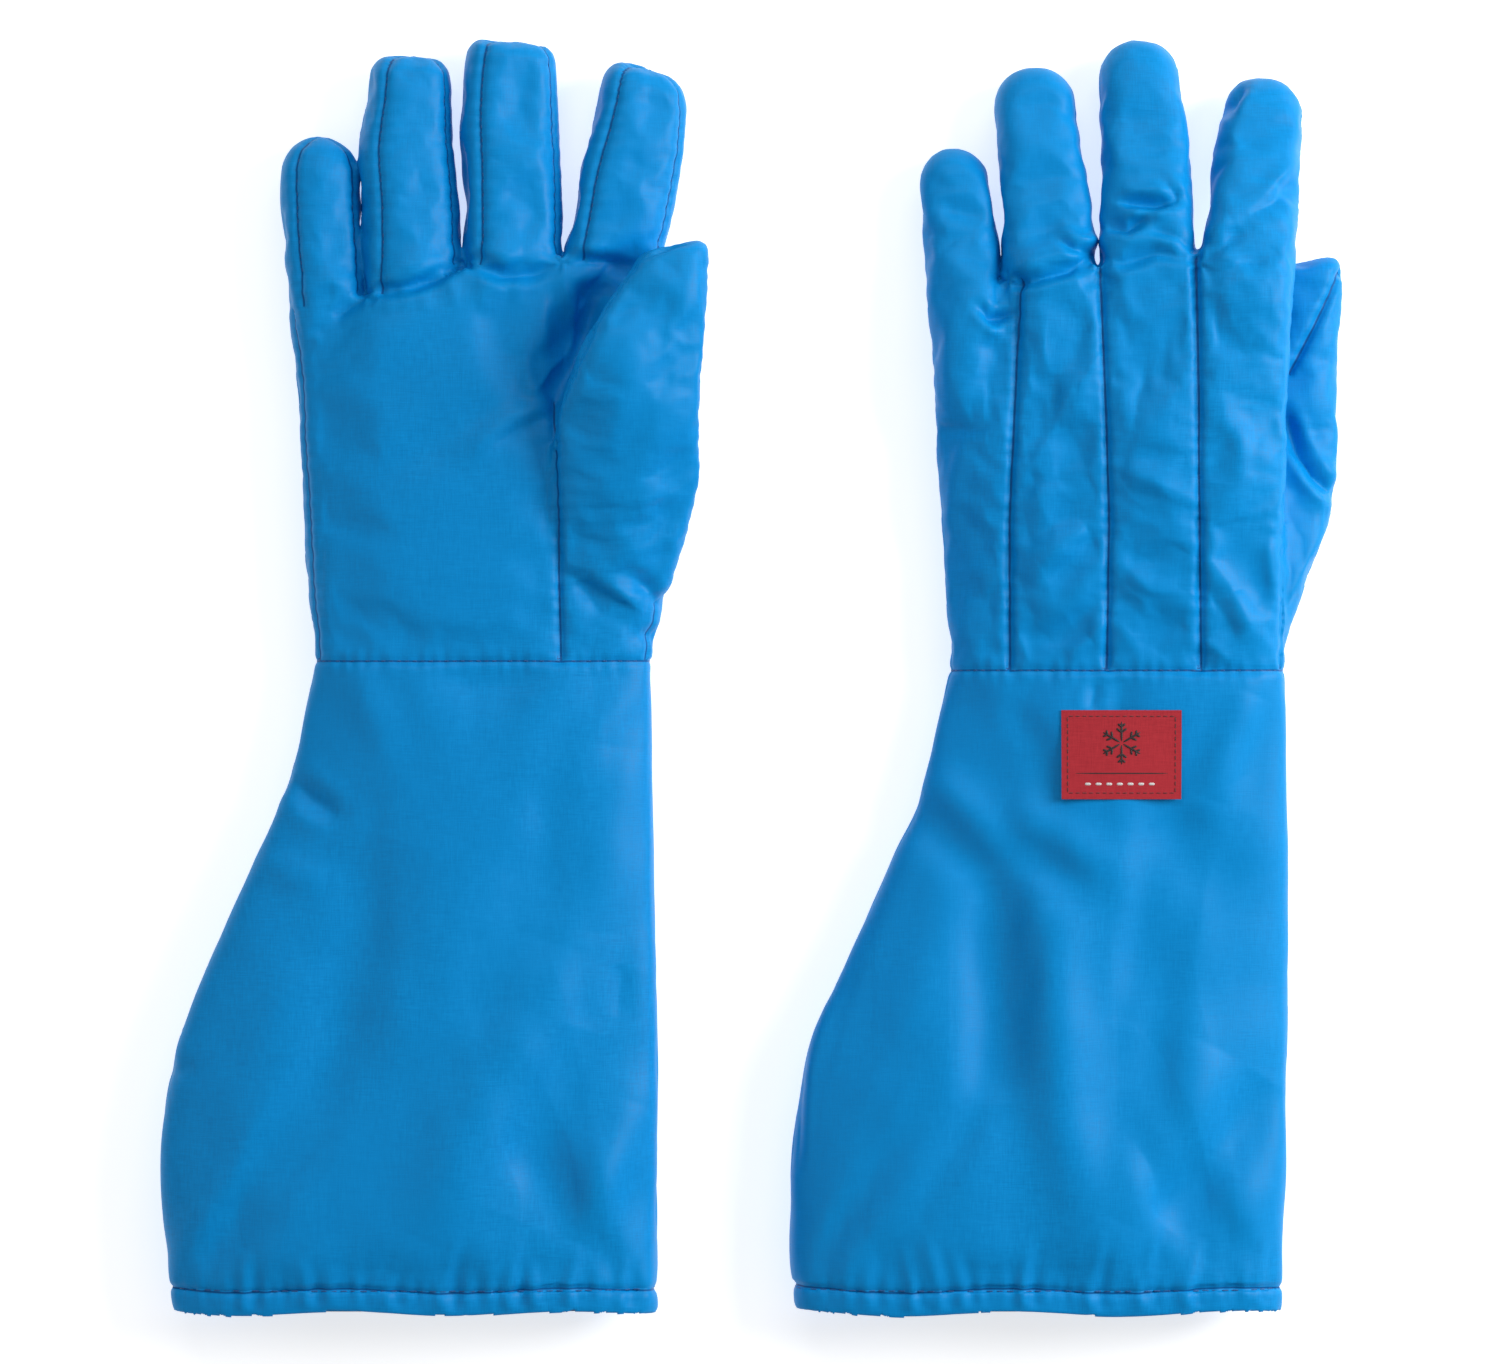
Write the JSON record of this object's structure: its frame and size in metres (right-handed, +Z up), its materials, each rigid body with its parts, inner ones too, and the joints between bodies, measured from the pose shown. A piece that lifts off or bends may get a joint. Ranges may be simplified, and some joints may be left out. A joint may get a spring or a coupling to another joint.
{
  "type": "pair of cryogenic gloves",
  "caption": "Elbow-length insulated gloves for handling very cold liquids, lying flat, one palm up and one palm down, with fingers, thumb and wrist that bend.",
  "frame": {"origin": "middle of the pair's footprint, on the table it lies on", "axes": "+Y towards the fingertips, +X towards the thumb side of both gloves, +Z up from the table"},
  "size_m": [0.4471, 0.481, 0.0573],
  "materials": {
    "shell": "blue fine woven nylon with a soft sheen",
    "membrane": "thin waterproof film",
    "insulation": "white multilayer batting",
    "lining": "brushed knit",
    "label": "woven label"
  },
  "bodies": {
    "right_sleeve": {"right_sleeve_shell": "shell", "right_sleeve_membrane": "membrane", "right_sleeve_insulation": "insulation", "right_sleeve_lining": "lining", "right_hem_band": "shell", "right_label": "label"},
    "right_hand": {"right_palm_panel": "shell", "right_little_back_strip": "shell", "right_ring_back_strip": "shell", "right_middle_back_strip": "shell", "right_index_back_strip": "shell", "right_thumb_base_panel": "shell", "right_hand_membrane": "membrane", "right_hand_insulation": "insulation", "right_hand_lining": "lining"},
    "right_little": {"right_little_front_panel": "shell", "right_little_back_panel": "shell", "right_little_liner": "insulation"},
    "right_ring": {"right_ring_front_panel": "shell", "right_ring_back_panel": "shell", "right_ring_liner": "insulation"},
    "right_middle": {"right_middle_front_panel": "shell", "right_middle_back_panel": "shell", "right_middle_liner": "insulation"},
    "right_index": {"right_index_front_panel": "shell", "right_index_back_panel": "shell", "right_index_liner": "insulation"},
    "right_thumb": {"right_thumb_front_panel": "shell", "right_thumb_back_panel": "shell", "right_thumb_liner": "insulation"},
    "left_sleeve": {"left_sleeve_shell": "shell", "left_sleeve_membrane": "membrane", "left_sleeve_insulation": "insulation", "left_sleeve_lining": "lining", "left_hem_band": "shell", "left_label": "label"},
    "left_hand": {"left_palm_panel": "shell", "left_little_back_strip": "shell", "left_ring_back_strip": "shell", "left_middle_back_strip": "shell", "left_index_back_strip": "shell", "left_thumb_base_panel": "shell", "left_hand_membrane": "membrane", "left_hand_insulation": "insulation", "left_hand_lining": "lining"},
    "left_little": {"left_little_front_panel": "shell", "left_little_back_panel": "shell", "left_little_liner": "insulation"},
    "left_ring": {"left_ring_front_panel": "shell", "left_ring_back_panel": "shell", "left_ring_liner": "insulation"},
    "left_middle": {"left_middle_front_panel": "shell", "left_middle_back_panel": "shell", "left_middle_liner": "insulation"},
    "left_index": {"left_index_front_panel": "shell", "left_index_back_panel": "shell", "left_index_liner": "insulation"},
    "left_thumb": {"left_thumb_front_panel": "shell", "left_thumb_back_panel": "shell", "left_thumb_liner": "insulation"}
  },
  "joints": [
    {"name": "left_glove_lift", "type": "slide", "parent": "right_sleeve", "child": "left_sleeve", "axis": [0, 0, 1], "range_m": [0, 0.25]},
    {"name": "right_wrist_bend", "type": "hinge", "parent": "right_sleeve", "child": "right_hand", "pos_m": [-0.1024, 0.0065, 0.0329], "axis": [1, 0, 0], "range_deg": [0, 40], "stiffness_Nm_per_rad": 1.2},
    {"name": "right_little_bend", "type": "hinge", "parent": "right_hand", "child": "right_little", "pos_m": [-0.16135, 0.15149, 0.0278], "axis": [0.9954, 0.0958, 0], "range_deg": [0, 80], "stiffness_Nm_per_rad": 0.12},
    {"name": "right_ring_bend", "type": "hinge", "parent": "right_hand", "child": "right_ring", "pos_m": [-0.12837, 0.15466, 0.02912], "axis": [0.9954, 0.0958, 0], "range_deg": [0, 80], "stiffness_Nm_per_rad": 0.12},
    {"name": "right_middle_bend", "type": "hinge", "parent": "right_hand", "child": "right_middle", "pos_m": [-0.09065, 0.15829, 0.02943], "axis": [0.9954, 0.0958, 0], "range_deg": [0, 80], "stiffness_Nm_per_rad": 0.12},
    {"name": "right_index_bend", "type": "hinge", "parent": "right_hand", "child": "right_index", "pos_m": [-0.05158, 0.16206, 0.02941], "axis": [0.9954, 0.0958, 0], "range_deg": [0, 80], "stiffness_Nm_per_rad": 0.12},
    {"name": "right_thumb_bend", "type": "hinge", "parent": "right_hand", "child": "right_thumb", "pos_m": [-0.0388, 0.116, 0.05738], "axis": [0.9659, -0.2588, 0], "range_deg": [0, 50], "stiffness_Nm_per_rad": 0.12},
    {"name": "left_wrist_bend", "type": "hinge", "parent": "left_sleeve", "child": "left_hand", "pos_m": [0.14075, 0.003, 0.00516], "axis": [-0.9962, 0, -0.0872], "range_deg": [0, 40], "stiffness_Nm_per_rad": 1.2},
    {"name": "left_little_bend", "type": "hinge", "parent": "left_hand", "child": "left_little", "pos_m": [0.07964, 0.15214, 0.00599], "axis": [-0.9969, -0.0785, 0], "range_deg": [0, 80], "stiffness_Nm_per_rad": 0.12},
    {"name": "left_ring_bend", "type": "hinge", "parent": "left_hand", "child": "left_ring", "pos_m": [0.11227, 0.15471, 0.00949], "axis": [-0.9969, -0.0785, 0], "range_deg": [0, 80], "stiffness_Nm_per_rad": 0.12},
    {"name": "left_middle_bend", "type": "hinge", "parent": "left_hand", "child": "left_middle", "pos_m": [0.14894, 0.15759, 0.01422], "axis": [-0.9969, -0.0785, 0], "range_deg": [0, 80], "stiffness_Nm_per_rad": 0.12},
    {"name": "left_index_bend", "type": "hinge", "parent": "left_hand", "child": "left_index", "pos_m": [0.18682, 0.16057, 0.01924], "axis": [-0.9969, -0.0785, 0], "range_deg": [0, 80], "stiffness_Nm_per_rad": 0.12},
    {"name": "left_thumb_bend", "type": "hinge", "parent": "left_hand", "child": "left_thumb", "pos_m": [0.2045, 0.115, 0.0003], "axis": [-0.9659, 0.2588, 0], "range_deg": [0, 50], "stiffness_Nm_per_rad": 0.12}
  ]
}
